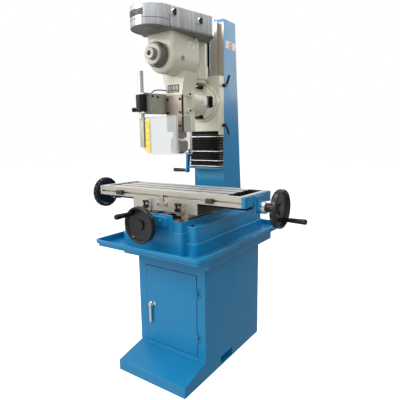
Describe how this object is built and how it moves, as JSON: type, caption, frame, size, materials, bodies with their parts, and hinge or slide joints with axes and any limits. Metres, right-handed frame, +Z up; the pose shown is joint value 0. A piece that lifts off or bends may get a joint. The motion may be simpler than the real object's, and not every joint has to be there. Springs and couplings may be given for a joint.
{
  "type": "slotting machine on a compound table and cabinet stand",
  "caption": "Bench slotting machine with swivelling ram head, dovetail column, T-slotted compound table, handwheels, splash guard, chip tray and cabinet stand.",
  "frame": {"origin": "on the floor under the middle of the cabinet, on the centre plane of the machine", "axes": "+Z up, operator at -Y, table travel along X"},
  "size_m": [1.2148, 0.9294, 1.688],
  "materials": {
    "blue_paint": "gloss",
    "cream_paint": "semi-gloss",
    "ground_iron": "ground",
    "steel": "machined",
    "dark_steel": "black oxide",
    "chrome": "polished",
    "satin_chrome": "satin",
    "aluminium": "polished",
    "black_plastic": "gloss",
    "rubber": "matte",
    "clear_plastic": "clear"
  },
  "bodies": {
    "frame": {"cabinet_shell": "blue_paint", "stand_top_frame": "blue_paint", "chip_tray": "blue_paint", "door_hinge_pins": "dark_steel", "base_casting": "blue_paint", "y_screw_bracket": "blue_paint", "column": "blue_paint"},
    "door": {"door_panel": "blue_paint"},
    "door_latch": {"door_handle": "chrome"},
    "door_lock_plug": {"door_lock": "chrome"},
    "y_screw": {"y_handwheel": "black_plastic", "y_dial": "satin_chrome", "y_lead_screw": "steel"},
    "y_grip": {"y_handwheel_grip": "black_plastic"},
    "saddle": {"saddle": "ground_iron", "zero_pointer": "steel"},
    "table_lock_left": {"table_lock_lever_left": "black_plastic"},
    "table_lock_right": {"table_lock_lever_right": "black_plastic"},
    "table": {"table": "ground_iron", "end_bracket_right": "blue_paint", "end_bracket_left": "blue_paint"},
    "stop_left": {"table_stop_left": "dark_steel"},
    "stop_right": {"table_stop_right": "dark_steel"},
    "x_screw": {"x_handwheel_right": "black_plastic", "x_handwheel_left": "black_plastic", "x_dials": "satin_chrome", "x_lead_screw": "steel"},
    "x_grip_right": {"x_grip_right": "black_plastic"},
    "x_grip_left": {"x_grip_left": "black_plastic"},
    "elevating_crank": {"elevating_crank": "blue_paint"},
    "crank_grip": {"crank_grip": "black_plastic"},
    "z_screw": {"z_lead_screw": "steel"},
    "carriage": {"head_carriage": "cream_paint", "swivel_ring": "steel", "bellows": "rubber"},
    "carriage_lock_upper": {"carriage_lock_upper": "black_plastic"},
    "carriage_lock_lower": {"carriage_lock_lower": "black_plastic"},
    "head": {"head_casting": "cream_paint", "head_screws": "dark_steel", "ram_cover_plate": "ground_iron", "oil_fittings": "steel", "motor": "cream_paint", "drive_belt": "rubber", "belt_cover_base": "aluminium", "guard_arm": "steel", "switch_lead": "rubber"},
    "motor_rotor": {"motor_pulley": "aluminium"},
    "input_shaft": {"input_shaft": "aluminium"},
    "crankshaft": {"crank_wheel": "steel", "stroke_hub": "chrome", "stroke_ring": "dark_steel"},
    "ram": {"ram": "steel", "tool_clamp": "steel"},
    "lid": {"belt_cover_lid": "aluminium"},
    "lid_catch_front": {"lid_catch_front": "chrome"},
    "lid_catch_rear": {"lid_catch_rear": "chrome"},
    "guard_hub": {"guard_hub": "black_plastic"},
    "guard_knob": {"guard_clamp_knob": "black_plastic"},
    "guard": {"guard_rod": "chrome", "guard_screen": "clear_plastic"}
  },
  "joints": [
    {"name": "door_hinge", "type": "hinge", "parent": "frame", "child": "door", "pos_m": [0.1585, -0.276, 0.3], "axis": [0, 0, 1], "range_deg": [0, 110]},
    {"name": "door_handle_turn", "type": "hinge", "parent": "door", "child": "door_latch", "pos_m": [-0.121, -0.272, 0.298], "axis": [0, 1, 0], "range_deg": [0, 90]},
    {"name": "door_lock_turn", "type": "hinge", "parent": "door", "child": "door_lock_plug", "pos_m": [-0.097, -0.272, 0.307], "axis": [0, 1, 0], "range_deg": [0, 90]},
    {"name": "y_handwheel_turn", "type": "hinge", "parent": "frame", "child": "y_screw", "pos_m": [0, -0.423, 0.751], "axis": [0, 1, 0], "range_deg": [-3240, 5760]},
    {"name": "y_grip_spin", "type": "hinge", "parent": "y_screw", "child": "y_grip", "pos_m": [-0.04, -0.473, 0.79705], "axis": [0, 1, 0], "continuous": true},
    {"name": "saddle_slide", "type": "slide", "parent": "frame", "child": "saddle", "axis": [0, 1, 0], "range_m": [-0.045, 0.08]},
    {"name": "table_lock_left_turn", "type": "hinge", "parent": "saddle", "child": "table_lock_left", "pos_m": [-0.094, -0.311, 0.801], "axis": [0, 1, 0], "range_deg": [-60, 60]},
    {"name": "table_lock_right_turn", "type": "hinge", "parent": "saddle", "child": "table_lock_right", "pos_m": [0.093, -0.311, 0.801], "axis": [0, 1, 0], "range_deg": [-60, 60]},
    {"name": "table_slide", "type": "slide", "parent": "saddle", "child": "table", "axis": [1, 0, 0], "range_m": [-0.15, 0.15]},
    {"name": "stop_left_slide", "type": "slide", "parent": "table", "child": "stop_left", "axis": [1, 0, 0], "range_m": [-0.05, 0.05]},
    {"name": "stop_right_slide", "type": "slide", "parent": "table", "child": "stop_right", "axis": [1, 0, 0], "range_m": [-0.05, 0.05]},
    {"name": "x_handwheel_turn", "type": "hinge", "parent": "table", "child": "x_screw", "pos_m": [0, -0.1845, 0.825], "axis": [1, 0, 0], "range_deg": [-10800, 10800]},
    {"name": "x_grip_right_spin", "type": "hinge", "parent": "x_screw", "child": "x_grip_right", "pos_m": [0.523, -0.1495, 0.77504], "axis": [1, 0, 0], "continuous": true},
    {"name": "x_grip_left_spin", "type": "hinge", "parent": "x_screw", "child": "x_grip_left", "pos_m": [-0.523, -0.1265, 0.80611], "axis": [1, 0, 0], "continuous": true},
    {"name": "elevating_crank_turn", "type": "hinge", "parent": "frame", "child": "elevating_crank", "pos_m": [-0.146, 0.1, 1.034], "axis": [1, 0, 0], "range_deg": [-3600, 17280]},
    {"name": "crank_grip_spin", "type": "hinge", "parent": "elevating_crank", "child": "crank_grip", "pos_m": [-0.161, 0.092, 0.936], "axis": [1, 0, 0], "continuous": true},
    {"name": "z_screw_turn", "type": "hinge", "parent": "frame", "child": "z_screw", "pos_m": [0, 0.1, 1.034], "axis": [0, 0, 1], "range_deg": [-3600, 17280]},
    {"name": "carriage_slide", "type": "slide", "parent": "frame", "child": "carriage", "axis": [0, 0, 1], "range_m": [-0.05, 0.24], "deforming": ["bellows"]},
    {"name": "carriage_lock_upper_turn", "type": "hinge", "parent": "carriage", "child": "carriage_lock_upper", "pos_m": [0.0919, 0.066, 1.363], "axis": [1, 0, 0], "range_deg": [-60, 60]},
    {"name": "carriage_lock_lower_turn", "type": "hinge", "parent": "carriage", "child": "carriage_lock_lower", "pos_m": [0.0919, 0.066, 1.171], "axis": [1, 0, 0], "range_deg": [-60, 60]},
    {"name": "head_swivel", "type": "hinge", "parent": "carriage", "child": "head", "pos_m": [0, 0.014, 1.28], "axis": [0, 1, 0], "range_deg": [-45, 45]},
    {"name": "motor_spin", "type": "hinge", "parent": "head", "child": "motor_rotor", "pos_m": [0, -0.046, 1.555], "axis": [0, 0, 1], "continuous": true},
    {"name": "input_shaft_spin", "type": "hinge", "parent": "head", "child": "input_shaft", "pos_m": [0.044, -0.215, 1.555], "axis": [0, 0, 1], "continuous": true},
    {"name": "crankshaft_spin", "type": "hinge", "parent": "head", "child": "crankshaft", "pos_m": [0, -0.302, 1.455], "axis": [0, 1, 0], "continuous": true},
    {"name": "ram_slide", "type": "slide", "parent": "head", "child": "ram", "axis": [0, 0, 1], "range_m": [-0.06, 0.025]},
    {"name": "lid_hinge", "type": "hinge", "parent": "head", "child": "lid", "pos_m": [-0.0915, -0.215, 1.557], "axis": [0, -1, 0], "range_deg": [0, 100]},
    {"name": "lid_catch_front_turn", "type": "hinge", "parent": "lid", "child": "lid_catch_front", "pos_m": [0.09788, -0.32312, 1.601], "axis": [0.9703, -0.2419, 0], "range_deg": [0, 90]},
    {"name": "lid_catch_rear_turn", "type": "hinge", "parent": "lid", "child": "lid_catch_rear", "pos_m": [0.13126, -0.18922, 1.593], "axis": [0.9703, -0.2419, 0], "range_deg": [0, 90]},
    {"name": "guard_swing", "type": "hinge", "parent": "head", "child": "guard_hub", "pos_m": [-0.102, -0.314, 1.263], "axis": [0, 0, -1], "range_deg": [0, 90]},
    {"name": "guard_knob_turn", "type": "hinge", "parent": "guard_hub", "child": "guard_knob", "pos_m": [-0.12248, -0.32834, 1.236], "axis": [0.8192, 0.5736, 0], "range_deg": [-180, 180]},
    {"name": "guard_slide", "type": "slide", "parent": "guard_hub", "child": "guard", "axis": [0, 0, 1], "range_m": [-0.08, 0]}
  ],
  "couplings": [
    {"joint": "y_handwheel_turn", "follows": "saddle_slide", "rad_per_m": 1256.6},
    {"joint": "x_handwheel_turn", "follows": "table_slide", "rad_per_m": 1256.6},
    {"joint": "elevating_crank_turn", "follows": "carriage_slide", "rad_per_m": 1256.6},
    {"joint": "z_screw_turn", "follows": "carriage_slide", "rad_per_m": 1256.6},
    {"joint": "input_shaft_spin", "follows": "motor_spin", "ratio": 0.42857},
    {"joint": "crankshaft_spin", "follows": "motor_spin", "ratio": 0.021429}
  ]
}
